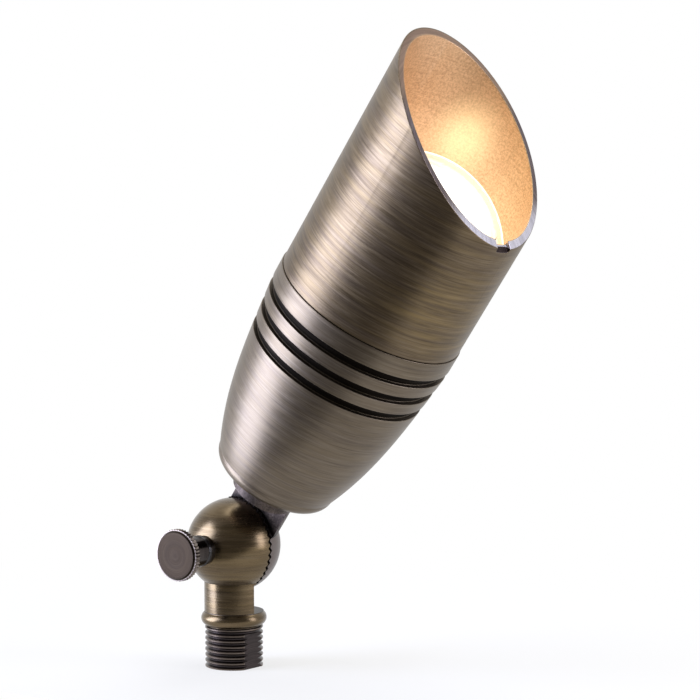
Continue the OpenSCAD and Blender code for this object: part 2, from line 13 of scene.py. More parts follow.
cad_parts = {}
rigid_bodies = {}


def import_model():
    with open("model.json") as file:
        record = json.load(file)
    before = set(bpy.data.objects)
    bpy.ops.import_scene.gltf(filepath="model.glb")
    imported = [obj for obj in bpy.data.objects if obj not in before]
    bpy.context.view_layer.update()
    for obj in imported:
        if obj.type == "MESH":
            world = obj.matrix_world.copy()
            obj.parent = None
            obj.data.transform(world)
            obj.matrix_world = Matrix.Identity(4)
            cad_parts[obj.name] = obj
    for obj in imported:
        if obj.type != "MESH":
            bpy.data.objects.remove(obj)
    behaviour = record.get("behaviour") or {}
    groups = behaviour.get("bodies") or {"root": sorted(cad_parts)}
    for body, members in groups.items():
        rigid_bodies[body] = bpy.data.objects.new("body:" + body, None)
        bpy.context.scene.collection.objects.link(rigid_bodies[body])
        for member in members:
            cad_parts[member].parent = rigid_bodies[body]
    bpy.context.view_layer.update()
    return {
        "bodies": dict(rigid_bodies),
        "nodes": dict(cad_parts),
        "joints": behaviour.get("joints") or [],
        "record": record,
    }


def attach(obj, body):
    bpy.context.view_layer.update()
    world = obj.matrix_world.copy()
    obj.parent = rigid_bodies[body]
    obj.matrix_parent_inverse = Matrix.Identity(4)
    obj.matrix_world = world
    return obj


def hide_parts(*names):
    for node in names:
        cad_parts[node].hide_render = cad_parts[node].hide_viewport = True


Colour = Tuple[float, float, float]
Point2 = Tuple[float, float]
Point3 = Tuple[float, float, float]
Span = Tuple[float, float]
Sockets = Dict[Union[str, int], object]

LOG = logging.getLogger("spotlight")
MM = 0.001
TILT = math.radians(35.0)
PIVOT = Vector((0.0, 0.0, 44.1))
BLACK: Colour = (0.0, 0.0, 0.0)
WHITE: Colour = (1.0, 1.0, 1.0)

# Own pieces: the angle above which an edge stays sharp, a rounded edge's steps, and what counts as one point in mm
SMOOTH_ANGLE = math.radians(12.0)
EDGE_SEGMENTS = 3
MERGE_DISTANCE = 0.0005

# Stations along the head's axis, in millimetres from the pivot
JOINT = 108.1
GROOVES = (99.5, 91.85, 84.2)


class Frame(Enum):
    """Which axis a pattern follows."""

    STAKE = "stake"
    HEAD = "head"
    SCREW = "screw"


def frame_matrix(frame: Frame) -> Matrix:
    """Gives the matrix that takes a frame's own millimetres to the row's metres.

    Args:
        frame: The frame.

    Returns:
        A 4x4 matrix with the frame's axis along its third column.
    """
    turns = {Frame.STAKE: Matrix.Identity(4), Frame.HEAD: Matrix.Rotation(TILT, 4, "Y"),
             Frame.SCREW: Matrix.Rotation(math.pi / 2, 4, "X")}
    start = Vector((0.0, 0.0, 0.0)) if frame is Frame.STAKE else PIVOT
    return Matrix.Scale(MM, 4) @ Matrix.Translation(start) @ turns[frame]


class Value:
    """A node socket that adds Math nodes when it is used in an expression."""

    def __init__(self, recipe: "Recipe", socket: bpy.types.NodeSocket) -> None:
        """Keeps the socket and the recipe it belongs to."""
        self.recipe = recipe
        self.socket = socket

    def __add__(self, other: "Number") -> "Value":
        """Adds."""
        return self.recipe.maths("ADD", self, other)

    def __sub__(self, other: "Number") -> "Value":
        """Subtracts."""
        return self.recipe.maths("SUBTRACT", self, other)

    def __rsub__(self, other: "Number") -> "Value":
        """Subtracts this from another value."""
        return self.recipe.maths("SUBTRACT", other, self)

    def __mul__(self, other: "Number") -> "Value":
        """Multiplies."""
        return self.recipe.maths("MULTIPLY", self, other)

    def __pow__(self, other: "Number") -> "Value":
        """Raises to a power."""
        return self.recipe.maths("POWER", self, other)

    def __rpow__(self, other: "Number") -> "Value":
        """Raises another value to this power."""
        return self.recipe.maths("POWER", other, self)

    __radd__ = __add__
    __rmul__ = __mul__

    def band(self, low: float, high: float, start: float = 0.0, end: float = 1.0) -> "Value":
        """Maps the range low..high smoothly to start..end.

        Args:
            low: The value that gives start.
            high: The value that gives end.
            start: The result at low.
            end: The result at high.

        Returns:
            The mapped value, clamped.
        """
        node = self.recipe.add("ShaderNodeMapRange", {"interpolation_type": "SMOOTHSTEP"},
                               {"Value": self, "From Min": low, "From Max": high, "To Min": start, "To Max": end})
        return Value(self.recipe, node.outputs["Result"])


Number = Union[Value, float, int]


class Recipe:
    """The node tree of a material or of the world, written as expressions."""

    def __init__(self, owner: Union[bpy.types.Material, bpy.types.World]) -> None:
        """Empties the owner's node tree.

        Args:
            owner: The material or the world.
        """
        owner.use_nodes = True
        self.owner = owner
        self.tree = owner.node_tree
        self.tree.nodes.clear()

    def add(self, kind: str, settings: Optional[Dict[str, object]] = None,
            inputs: Optional[Sockets] = None) -> bpy.types.Node:
        """Adds a node.

        Args:
            kind: The node's type.
            settings: Its settings; "stops" holds a ramp's positions and colours.
            inputs: Values or links of its sockets.

        Returns:
            The node.
        """
        node = self.tree.nodes.new(kind)
        for key, setting in (settings or {}).items():
            if key == "stops":
                self.set_stops(node.color_ramp, setting)
            else:
                setattr(node, key, setting)
        for key, given in (inputs or {}).items():
            if isinstance(given, Value):
                self.tree.links.new(given.socket, node.inputs[key])
            else:
                node.inputs[key].default_value = given
        return node

    @staticmethod
    def set_stops(ramp: bpy.types.ColorRamp, stops: Sequence[Tuple[float, Colour]]) -> None:
        """Writes a colour ramp's stops.

        Args:
            ramp: The ramp, with its two first stops.
            stops: Positions and colours in order.
        """
        for _ in stops[2:]:
            ramp.elements.new(0.5)
        for element, (position, colour) in zip(ramp.elements, stops):
            element.position = position
            element.color = (*colour, 1.0)

    def maths(self, operation: str, first: Number, second: Number) -> Value:
        """Adds a Math node of two values."""
        node = self.add("ShaderNodeMath", {"operation": operation}, {0: first, 1: second})
        return Value(self, node.outputs[0])

    def place(self, frame: Frame) -> Tuple[Value, Value, Value]:
        """Gives the surface point in a frame's own millimetres.

        Args:
            frame: The frame.

        Returns:
            The point's x, y and z.
        """
        matrix = frame_matrix(frame)
        where = self.add("ShaderNodeTexCoord")
        mapped = self.add("ShaderNodeMapping", {"vector_type": "TEXTURE"}, {
            "Vector": Value(self, where.outputs["Object"]), "Location": matrix.to_translation(),
            "Rotation": matrix.to_euler(), "Scale": (MM, MM, MM)})
        parts = self.add("ShaderNodeSeparateXYZ", None, {0: Value(self, mapped.outputs[0])})
        return tuple(Value(self, output) for output in parts.outputs)

    def noise(self, x: Number, y: Number, z: Number, detail: float, rough: float) -> Value:
        """Adds a noise pattern at a point given by three values.

        Args:
            x: First coordinate.
            y: Second coordinate.
            z: Third coordinate.
            detail: Number of octaves.
            rough: Weight of the finer octaves.

        Returns:
            The pattern, from 0 to 1.
        """
        joined = self.add("ShaderNodeCombineXYZ", None, {0: x, 1: y, 2: z})
        node = self.add("ShaderNodeTexNoise", None, {
            "Vector": Value(self, joined.outputs[0]), "Scale": 1.0, "Detail": detail, "Roughness": rough})
        return Value(self, node.outputs["Fac"])

    def ramp(self, fac: Value, stops: Sequence[Tuple[float, Colour]]) -> Value:
        """Colours a value with a ramp."""
        return Value(self, self.add("ShaderNodeValToRGB", {"stops": stops}, {"Fac": fac}).outputs["Color"])

    def mix(self, fac: Number, first: Union[Value, Colour], second: Union[Value, Colour]) -> Value:
        """Mixes two colours.

        Args:
            fac: Share of the second colour.
            first: A colour or a link.
            second: A colour or a link.

        Returns:
            The mixed colour.
        """
        pair = [c if isinstance(c, Value) else (*c, 1.0) for c in (first, second)]
        node = self.add("ShaderNodeMix", {"data_type": "RGBA"}, {0: fac, 6: pair[0], 7: pair[1]})
        return Value(self, node.outputs[2])

    def bump(self, height: Value, depth: float) -> Value:
        """Turns a height pattern into a normal; depth is a full step's height in millimetres."""
        node = self.add("ShaderNodeBump", None, {"Height": height, "Distance": depth * MM, "Strength": 1.0})
        return Value(self, node.outputs[0])

    def finish(self, inputs: Sockets) -> bpy.types.Material:
        """Adds the surface shader.

        Args:
            inputs: The shader's values and links.

        Returns:
            The finished material.
        """
        shader = self.add("ShaderNodeBsdfPrincipled", None, inputs)
        self.add("ShaderNodeOutputMaterial", None, {0: Value(self, shader.outputs[0])})
        return self.owner


@dataclass(frozen=True)
class Grain:
    """A noise pattern, with one scale across an axis and another along it."""

    across: float
    along: float
    detail: float
    rough: float
    shift: float = 0.0

    def pattern(self, r: Recipe, x: Value, y: Value, along: Value) -> Value:
        """Gives the pattern, from 0 to 1, at a place across and along the axis."""
        return r.noise(x * self.across + self.shift, y * self.across, along * self.along, self.detail, self.rough)


def weighed(shares: Sequence[float], patterns: Sequence[Value]) -> Value:
    """Adds patterns up by their shares."""
    first, *others = (pattern * share for share, pattern in zip(shares, patterns))
    return sum(others, first)


TURNING_LINES = Grain(0.07, 1.1, 4.0, 0.62)
HAIR_LINES = Grain(0.05, 5.0, 2.0, 0.5)
PATCHES = Grain(0.045, 0.07, 3.0, 0.55, 7.0)
PATINA_CLOUDS = Grain(0.03, 0.45, 4.0, 0.62, 31.0)
SPECKLE = Grain(1.3, 1.3, 3.0, 0.75)
CAST_CLOUDS = Grain(0.2, 0.2, 2.0, 0.5)
PAINT_CLOUDS = Grain(0.12, 0.12, 2.0, 0.5)


@dataclass(frozen=True)
class Zone:
    """A part of a piece, between two radii and two stations, with a look of its own."""

    radius: Span
    station: Span
    dark: Colour
    light: Colour
    roughness: float
    soft: float = 0.06
    fade: float = 0.06
    speckle: float = 0.0

    def mask(self, radius: Value, station: Value) -> Value:
        """Gives 1 inside the zone and 0 outside it.

        Args:
            radius: Distance from the frame's axis.
            station: Place along the frame's axis.

        Returns:
            The mask.
        """
        soft, fade = self.soft, self.fade
        (near, far), (low, high) = self.radius, self.station
        return (radius.band(near - soft, near + soft) * radius.band(far - soft, far + soft, 1.0, 0.0)
                * station.band(low - fade, low + fade) * station.band(high - fade, high + fade, 1.0, 0.0))


@dataclass(frozen=True)
class WornAndPaintedLight:
    """A side of a piece with golden patches, partly the patina's own rubbed tone and partly painted light that
    brightens that side.
    """

    side: Point2
    station: Span
    reach: Span
    low_fade: float = 6.0
    high_fade: float = 12.0

    def mask(self, x: Value, y: Value, station: Value) -> Value:
        """Gives 1 in the middle of that side and 0 away from it.

        Args:
            x: Place across the frame's axis.
            y: Place across the frame's axis.
            station: Place along the frame's axis.

        Returns:
            The mask.
        """
        low, high = self.station
        return ((x * self.side[0] + y * self.side[1]).band(*self.reach)
                * station.band(low - self.low_fade, low + self.low_fade)
                * station.band(high - self.high_fade, high + self.high_fade, 1.0, 0.0))


@dataclass(frozen=True)
class InnerGlow:
    """The lamp's light on a tube's inner wall: a hot spot, and a warm side round it."""

    spot: Point3
    wall: Span = (31.8, 32.1)
    spot_reach: Span = (2.0, 17.0)
    spot_stretch: float = 0.7
    spot_fray: float = 3.0
    spot_colour: Colour = (0.72, 0.54, 0.27)
    warm_side: Point2 = (0.76, 0.65)
    warm_reach: Span = (0.0, 31.0)
    warm_least: float = 0.3
    warm_colour: Colour = (0.27, 0.19, 0.075)
    speckle_span: Span = (0.3, 0.6)
    speckle_least: float = 0.6

    def colour(self, r: Recipe, place: Sequence[Value], radius: Value, hair: Value, speckle: Value) -> Value:
        """Gives the colour of the light that the wall sends back.

        Args:
            r: The recipe that the nodes go into.
            place: The surface point in the frame.
            radius: Its distance from the frame's axis.
            hair: The finish's fine lines.
            speckle: The finish's speckle.

        Returns:
            The emission colour, black outside the inner wall.
        """
        x, y, _ = place
        across, behind, up = (part - at for part, at in zip(place, self.spot))
        inner = radius.band(*self.wall, 1.0, 0.0)
        away = (across * across + behind * behind + up * up * self.spot_stretch) ** 0.5 + hair * self.spot_fray
        near = away.band(*self.spot_reach, 1.0, 0.0)
        side = (x * self.warm_side[0] + y * self.warm_side[1]).band(*self.warm_reach, self.warm_least, 1.0)
        lit = side * (speckle.band(*self.speckle_span, self.speckle_least, 1.0) * inner)
        return r.mix(near * inner, r.mix(lit, BLACK, self.warm_colour), self.spot_colour)


@dataclass(frozen=True)
class TurnedBrass:
    """Aged brass with turning lines round an axis."""

    name: str
    frame: Frame
    dark: Colour = (0.050, 0.036, 0.024)
    middle: Colour = (0.135, 0.101, 0.066)
    rubbed: Colour = (0.235, 0.185, 0.128)
    tint: Colour = (0.260, 0.188, 0.092)
    cool: Colour = (0.118, 0.092, 0.088)
    roughness: float = 0.38
    line_depth: float = 0.006
    seed: float = 0.0
    coat: float = 0.0
    coat_roughness: float = 0.25
    golden: float = 0.25
    golden_worn_and_light: Span = (0.08, 0.45)
    cool_share: float = 0.2
    line_roughness: float = 0.2
    face_slope: float = 0.7
    tone_shares: Point3 = (0.17, 0.45, 0.38)
    zone_shares: Point3 = (0.55, 0.25, 0.2)
    height_shares: Point2 = (0.6, 0.4)
    tone_span: Span = (0.2, 0.82)
    golden_span: Span = (0.42, 0.72)
    cool_span: Span = (0.28, 0.5)
    zone_span: Span = (0.35, 0.65)
    zones: Tuple[Zone, ...] = ()
    glow: Optional[InnerGlow] = None
    worn_and_painted_light: Optional[WornAndPaintedLight] = None

    def material(self) -> bpy.types.Material:
        """Makes the material.

        Returns:
            The material.
        """
        r = Recipe(bpy.data.materials.new(self.name))
        x, y, z = r.place(self.frame)
        radius = (x * x + y * y) ** 0.5
        along = z + radius * self.face_slope + self.seed
        lines, hair, patches, clouds = (
            grain.pattern(r, x, y, along) for grain in (TURNING_LINES, HAIR_LINES, PATCHES, PATINA_CLOUDS))
        speckle = SPECKLE.pattern(r, x, y, z)
        tone = weighed(self.tone_shares, (patches, lines, hair)).band(*self.tone_span)
        colour = r.ramp(tone, [(0.0, self.dark), (0.5, self.middle), (1.0, self.rubbed)])
        golden = clouds.band(*self.golden_span, 0.0, self.golden)
        # Golden patches on one side: partly rubbed patina, partly painted light brightening that side
        if self.worn_and_painted_light is not None:
            golden = golden + self.worn_and_painted_light.mask(x, y, z) * clouds.band(*self.golden_span, *self.golden_worn_and_light)
        colour = r.mix(golden, colour, self.tint)
        colour = r.mix(clouds.band(*self.cool_span, self.cool_share, 0.0), colour, self.cool)
        rough = lines * self.line_roughness + (self.roughness - self.line_roughness / 2)
        plain = weighed(self.zone_shares, (hair, lines, patches))
        for zone in self.zones:
            mask = zone.mask(radius, z)
            inside = (plain + (speckle - plain) * zone.speckle).band(*self.zone_span)
            colour = r.mix(mask, colour, r.mix(inside, zone.dark, zone.light))
            rough = rough + mask * (zone.roughness - rough)
        height = weighed(self.height_shares, (lines, hair))
        inputs: Sockets = {
            "Base Color": colour, "Metallic": 1.0, "Roughness": rough, "Coat Weight": self.coat,
            "Coat Roughness": self.coat_roughness, "Normal": r.bump(height, self.line_depth)}
        if self.glow is not None:
            inputs["Emission Color"] = self.glow.colour(r, (x, y, z), radius, hair, speckle)
            inputs["Emission Strength"] = 1.0
        return r.finish(inputs)


@dataclass(frozen=True)
class CastBrass:
    """Rough cast brass, dark brown with rubbed specks, smooth on the half ball, and with a painted shadow of the
    ball, near black, on the stem close to it.
    """

    name: str
    frame: Frame
    dark: Colour = (0.040, 0.031, 0.027)
    light: Colour = (0.135, 0.106, 0.092)
    speck: Colour = (0.5, 0.45, 0.40)
    smooth: Colour = (0.15, 0.131, 0.126)
    # Painted shadow: the ball's shadow on the stem, near black, fading out with distance from the pivot
    painted_shadow: Colour = (0.006, 0.005, 0.005)
    ball_edge: Span = (17.0, 17.3)
    painted_shadow_edge: Span = (17.4, 19.8)
    painted_shadow_share: float = 0.92
    tone_shares: Point2 = (0.6, 0.5)
    tone_span: Span = (0.4, 0.72)
    speck_span: Span = (0.68, 0.78)
    metallic: float = 0.9
    roughness: float = 0.38
    grain_roughness: float = 0.25
    ball_polish: float = 0.14
    grain: Grain = Grain(1.6, 1.6, 4.0, 0.6)
    depth: float = 0.12

    def material(self) -> bpy.types.Material:
        """Makes the material.

        Returns:
            The material.
        """
        r = Recipe(bpy.data.materials.new(self.name))
        x, y, z = r.place(self.frame)
        grain = self.grain.pattern(r, x, y, z)
        broad = CAST_CLOUDS.pattern(r, x, y, z)
        from_pivot = (x * x + y * y + z * z) ** 0.5
        ball = from_pivot.band(*self.ball_edge, 1.0, 0.0)
        tone = weighed(self.tone_shares, (grain, broad)).band(*self.tone_span)
        colour = r.mix(tone, self.dark, self.light)
        colour = r.mix(grain.band(*self.speck_span), colour, self.speck)
        # Painted shadow of the ball on the stem, strongest next to the ball
        colour = r.mix(from_pivot.band(*self.painted_shadow_edge, self.painted_shadow_share, 0.0), colour, self.painted_shadow)
        colour = r.mix(ball, colour, r.mix(broad, self.smooth, self.light))
        return r.finish({"Base Color": colour, "Metallic": self.metallic,
                         "Roughness": grain * self.grain_roughness + self.roughness - ball * self.ball_polish,
                         "Normal": r.bump(grain * (1.0 - ball), self.depth)})


@dataclass(frozen=True)
class Painted:
    """A dielectric or metal finish with a fine grain, for pieces with one colour."""

    name: str
    colour: Colour
    roughness: float = 0.5
    metallic: float = 0.0
    grain: Grain = Grain(1.2, 1.2, 3.0, 0.6)
    depth: float = 0.01
    spread: float = 0.25
    coat: float = 0.0
    tone_shares: Point2 = (0.5, 0.5)
    tone_span: Span = (0.35, 0.65)
    grain_roughness: float = 0.15
    smoothest: float = -0.07

    def material(self) -> bpy.types.Material:
        """Makes the material.

        Returns:
            The material.
        """
        r = Recipe(bpy.data.materials.new(self.name))
        x, y, z = r.place(Frame.STAKE)
        grain = self.grain.pattern(r, x, y, z)
        broad = PAINT_CLOUDS.pattern(r, x, y, z)
        darker = tuple(c * (1.0 - self.spread) for c in self.colour)
        tone = weighed(self.tone_shares, (grain, broad)).band(*self.tone_span)
        return r.finish({"Base Color": r.mix(tone, darker, self.colour), "Metallic": self.metallic,
                         "Roughness": grain * self.grain_roughness + (self.roughness + self.smoothest),
                         "Normal": r.bump(grain, self.depth), "Coat Weight": self.coat})


@dataclass(frozen=True)
class LitGlass:
    """The lens's glass over a lit lamp: near white in the middle, warmer at its rim."""

    name: str
    level: float = 2.2
    colour: Colour = (0.5, 0.5, 0.48)
    roughness: float = 0.12
    coat: float = 0.6
    coat_roughness: float = 0.04
    streak_scale: Point3 = (0.5, 0.09, 0.3)
    streak_detail: float = 3.0
    streak_rough: float = 0.6
    streak_share: float = 0.16
    stops: Tuple[Tuple[float, Colour], ...] = (
        (0.0, (1.0, 0.95, 0.87)), (0.44, (0.80, 0.76, 0.66)), (0.54, (0.42, 0.33, 0.22)),
        (0.6, (0.45, 0.41, 0.33)), (0.67, (0.39, 0.28, 0.16)), (0.8, (0.41, 0.32, 0.21)),
        (0.87, (0.9, 0.85, 0.75)), (1.0, (0.6, 0.5, 0.38)))

    def material(self) -> bpy.types.Material:
        """Makes the material.

        Returns:
            The material.
        """
        r = Recipe(bpy.data.materials.new(self.name))
        x, y, z = (part * scale for part, scale in zip(r.place(Frame.HEAD), self.streak_scale))
        streaks = r.noise(x, y, z, self.streak_detail, self.streak_rough)
        facing = Value(r, r.add("ShaderNodeLayerWeight", None, {"Blend": 0.5}).outputs["Facing"])
        glow = r.ramp(facing + (streaks - 0.5) * self.streak_share, self.stops)
        return r.finish({"Base Color": (*self.colour, 1.0), "Roughness": self.roughness, "Emission Color": glow,
                         "Emission Strength": self.level, "Coat Weight": self.coat,
                         "Coat Roughness": self.coat_roughness})


Finish = Union[TurnedBrass, CastBrass, Painted, LitGlass]
Table = Tuple[Tuple[Finish, Tuple[str, ...]], ...]


@dataclass(frozen=True)
class SoftBox:
    """A soft box that faces the object."""

    name: str
    way: Point3
    rise: Point3
    distance: float
    size: Span
    level: float
    colour: Colour = WHITE

    def hang(self, target: Vector) -> None:
        """Hangs the box; level is the brightness of its face.

        Args:
            target: The point that it faces.
        """
        outward = Vector(self.way).normalized()
        bpy.ops.object.light_add(type="AREA", location=target + outward * self.distance)
        light = bpy.context.object
        light.name = self.name
        light.data.shape = "RECTANGLE"
        light.data.size, light.data.size_y = self.size
        light.data.energy = self.level * math.pi * self.size[0] * self.size[1]
        light.data.color = self.colour
        rise = Vector(self.rise)
        upward = (rise - outward * rise.dot(outward)).normalized()
        light.rotation_euler = Matrix((upward.cross(outward), upward, outward)).transposed().to_euler()
        LOG.info("%s hung", light.name)


@dataclass(frozen=True)
class Studio:
    """The camera, the pale floor and the soft lights, in metres and degrees."""

    camera_at: Point3 = (0.49174, -0.59817, 0.16331)
    azimuth: float = 36.289
    elevation: float = 3.617
    roll: float = -0.1535
    lens: float = 110.72
    target: Point3 = (0.07, 0.0, 0.15)
    floor_size: Point3 = (6.0, 3.0, 1.0)
    floor_shift: Point3 = (0.0, 1.42, 0.0)
    floor_colour: Colour = (0.86, 0.86, 0.86)
    floor_fade: Span = (60.0, 260.0)
    floor_least: float = 0.72
    room_colour: Colour = (0.22, 0.21, 0.20)
    room_way: Point3 = (-0.45, 0.8, 0.2)
    room_fade: Span = (-0.45, 0.6)
    boxes: Tuple[SoftBox, ...] = (
        SoftBox("left_box", (-0.771, -0.634, 0.062), (math.sin(TILT), 0.0, math.cos(TILT)), 2.4, (1.6, 3.6), 8.9,
                (0.88, 0.96, 1.27)),
        SoftBox("right_box", (0.89, 0.38, 0.18), (0.0, 0.0, 1.0), 0.8, (0.3, 0.6), 5.6, (0.95, 0.95, 1.12)),
        SoftBox("top_box", (0.1, 0.25, 1.0), (0.0, 1.0, 0.0), 1.2, (1.1, 1.1), 2.8))

    def build(self) -> None:
        """Builds all of it."""
        self.camera()
        self.floor()
        self.world()
        for box in self.boxes:
            box.hang(Vector(self.target))
        LOG.info("studio built")

    def camera(self) -> None:
        """Places the camera at the photograph's angle."""
        bpy.ops.object.camera_add(location=self.camera_at)
        camera = bpy.context.object
        azimuth, elevation, roll = (math.radians(v) for v in (self.azimuth, self.elevation, self.roll))
        back = Vector((math.sin(azimuth) * math.cos(elevation), -math.cos(azimuth) * math.cos(elevation),
                       math.sin(elevation)))
        right = Vector((math.cos(azimuth), math.sin(azimuth), 0.0))
        turn = Matrix((right, back.cross(right), back)).transposed() @ Matrix.Rotation(roll, 3, "Z")
        camera.rotation_euler = turn.to_euler()
        camera.data.lens = self.lens
        camera.data.clip_start = 0.01
        bpy.context.scene.camera = camera

    def floor(self) -> None:
        """Makes the pale floor, which keeps the object's shadow and turns plain white away from it."""
        bpy.ops.mesh.primitive_plane_add(size=1.0, location=(0.0, 0.0, 0.0))
        floor = bpy.context.object
        floor.name = "studio_floor"
        bpy.ops.transform.resize(value=self.floor_size)
        bpy.ops.transform.translate(value=self.floor_shift)
        bpy.ops.object.transform_apply(location=True, rotation=True, scale=True)
        r = Recipe(bpy.data.materials.new("pale_floor"))
        x, y, _ = r.place(Frame.STAKE)
        away = ((x * x + y * y) ** 0.5).band(*self.floor_fade).band(0.0, 1.0, self.floor_least, 1.0)
        near = r.add("ShaderNodeBsdfPrincipled", None, {"Base Color": (*self.floor_colour, 1.0), "Roughness": 0.9})
        white = r.add("ShaderNodeEmission", None, {"Color": (*WHITE, 1.0), "Strength": 1.0})
        mixed = r.add("ShaderNodeMixShader", None, {
            0: self.seen(r, 1.0) * away, 1: Value(r, near.outputs[0]), 2: Value(r, white.outputs[0])})
        r.add("ShaderNodeOutputMaterial", None, {0: Value(r, mixed.outputs[0])})
        floor.data.materials.append(r.owner)

    @staticmethod
    def seen(r: Recipe, share: Number) -> Value:
        """Gives 1 for camera rays and a share for the rays that metal and glass send out.

        Args:
            r: The recipe that the nodes go into.
            share: The background's share for glossy and transmission rays.

        Returns:
            The value, from 0 to 1.
        """
        path = r.add("ShaderNodeLightPath")
        camera, glossy, through = (Value(r, path.outputs[f"Is {kind} Ray"])
                                   for kind in ("Camera", "Glossy", "Transmission"))
        return r.maths("MINIMUM", camera + (glossy + through) * share, 1.0)

    def world(self) -> None:
        """Makes a white background behind the object and a dim room on the camera's side."""
        world = bpy.data.worlds.new("studio_room")
        bpy.context.scene.world = world
        r = Recipe(world)
        way = r.add("ShaderNodeTexCoord")
        parts = r.add("ShaderNodeSeparateXYZ", None, {0: Value(r, way.outputs["Generated"])})
        x, y, z = (Value(r, output) * share for output, share in zip(parts.outputs, self.room_way))
        behind = (x + y + z).band(*self.room_fade)
        shown = r.mix(self.seen(r, behind), self.room_colour, WHITE)
        back = r.add("ShaderNodeBackground", None, {"Color": shown, "Strength": 1.0})
        r.add("ShaderNodeOutputWorld", None, {0: Value(r, back.outputs[0])})


def apply_modifier(piece: bpy.types.Object, kind: str, **settings: object) -> None:
    """Adds a modifier and applies it.

    Args:
        piece: The object.
        kind: The modifier's type.
        settings: The modifier's settings.
    """
    pick_only(piece)
    modifier = piece.modifiers.new(kind.lower(), kind)
    for key, setting in settings.items():
        setattr(modifier, key, setting)
    bpy.ops.object.modifier_apply(modifier=modifier.name)


def pick_only(item: bpy.types.Object) -> None:
    """Selects one object and nothing else, and makes it active.

    Args:
        item: The object.
    """
    bpy.ops.object.select_all(action="DESELECT")
    item.select_set(True)
    bpy.context.view_layer.objects.active = item


def cut(piece: bpy.types.Object, tool: bpy.types.Object, operation: str = "DIFFERENCE") -> None:
    """Cuts a piece with a tool, or joins or crosses them, and removes the tool."""
    apply_modifier(piece, "BOOLEAN", object=tool, operation=operation, solver="EXACT")
    bpy.data.objects.remove(tool)


def turned(name: str, profile: Sequence[Point2], steps: int) -> bpy.types.Object:
    """Turns a closed profile round the Z axis, in millimetres.

    Args:
        name: The piece's name.
        profile: Points of radius and height, in order round the outline.
        steps: Number of steps round the axis.

    Returns:
        The closed solid.
    """
    bpy.ops.object.select_all(action="DESELECT")
    bpy.ops.mesh.primitive_circle_add(vertices=len(profile), radius=1.0, fill_type="NOTHING")
    piece = bpy.context.object
    piece.name = piece.data.name = name
    for vertex, (radius, height) in zip(piece.data.vertices, profile):
        vertex.co = (radius, 0.0, height)
    bpy.ops.object.mode_set(mode="EDIT")
    bpy.ops.mesh.select_all(action="SELECT")
    bpy.ops.mesh.spin(steps=steps, angle=2 * math.pi, center=(0.0, 0.0, 0.0), axis=(0.0, 0.0, 1.0))
    bpy.ops.mesh.select_all(action="SELECT")
    bpy.ops.mesh.remove_doubles(threshold=MERGE_DISTANCE)
    bpy.ops.mesh.delete_loose()
    bpy.ops.mesh.select_all(action="SELECT")
    bpy.ops.mesh.normals_make_consistent(inside=False)
    bpy.ops.object.mode_set(mode="OBJECT")
    return piece


def settle(piece: bpy.types.Object) -> bpy.types.Object:
    """Puts a piece drawn in the head's millimetres at its place, with its place in its mesh.

    Args:
        piece: The piece.

    Returns:
        The piece.
    """
    pick_only(piece)
    piece.matrix_world = frame_matrix(Frame.HEAD) @ piece.matrix_world
    bpy.ops.object.transform_apply(location=True, rotation=True, scale=True)
    bpy.ops.object.shade_smooth_by_angle(angle=SMOOTH_ANGLE)
    LOG.info("%s: %d faces", piece.name, len(piece.data.polygons))
    return piece


def arc(centre: Point2, radius: float, start: float, end: float, steps: int) -> List[Point2]:
    """Gives points of an arc, with angles in degrees."""
    turns = [math.radians(start + (end - start) * i / steps) for i in range(steps + 1)]
    return [(centre[0] + radius * math.cos(a), centre[1] + radius * math.sin(a)) for a in turns]


def drum(radius: float, low: float, high: float, vertices: int) -> bpy.types.Object:
    """Adds a cylinder on the Z axis.

    Args:
        radius: Its radius.
        low: Height of its bottom.
        high: Height of its top.
        vertices: Number of corners round it.

    Returns:
        The cylinder.
    """
    bpy.ops.object.select_all(action="DESELECT")
    bpy.ops.mesh.primitive_cylinder_add(vertices=vertices, radius=radius, depth=high - low,
                                        location=(0.0, 0.0, (low + high) / 2))
    return bpy.context.object


def block(low: Point3, high: Point3) -> bpy.types.Object:
    """Adds a box.

    Args:
        low: Its lowest corner.
        high: Its highest corner.

    Returns:
        The box.
    """
    bpy.ops.object.select_all(action="DESELECT")
    bpy.ops.mesh.primitive_cube_add(size=1.0, location=[(a + b) / 2 for a, b in zip(low, high)])
    tool = bpy.context.object
    tool.scale = [b - a for a, b in zip(low, high)]
    bpy.ops.object.transform_apply(location=True, rotation=True, scale=True)
    return tool


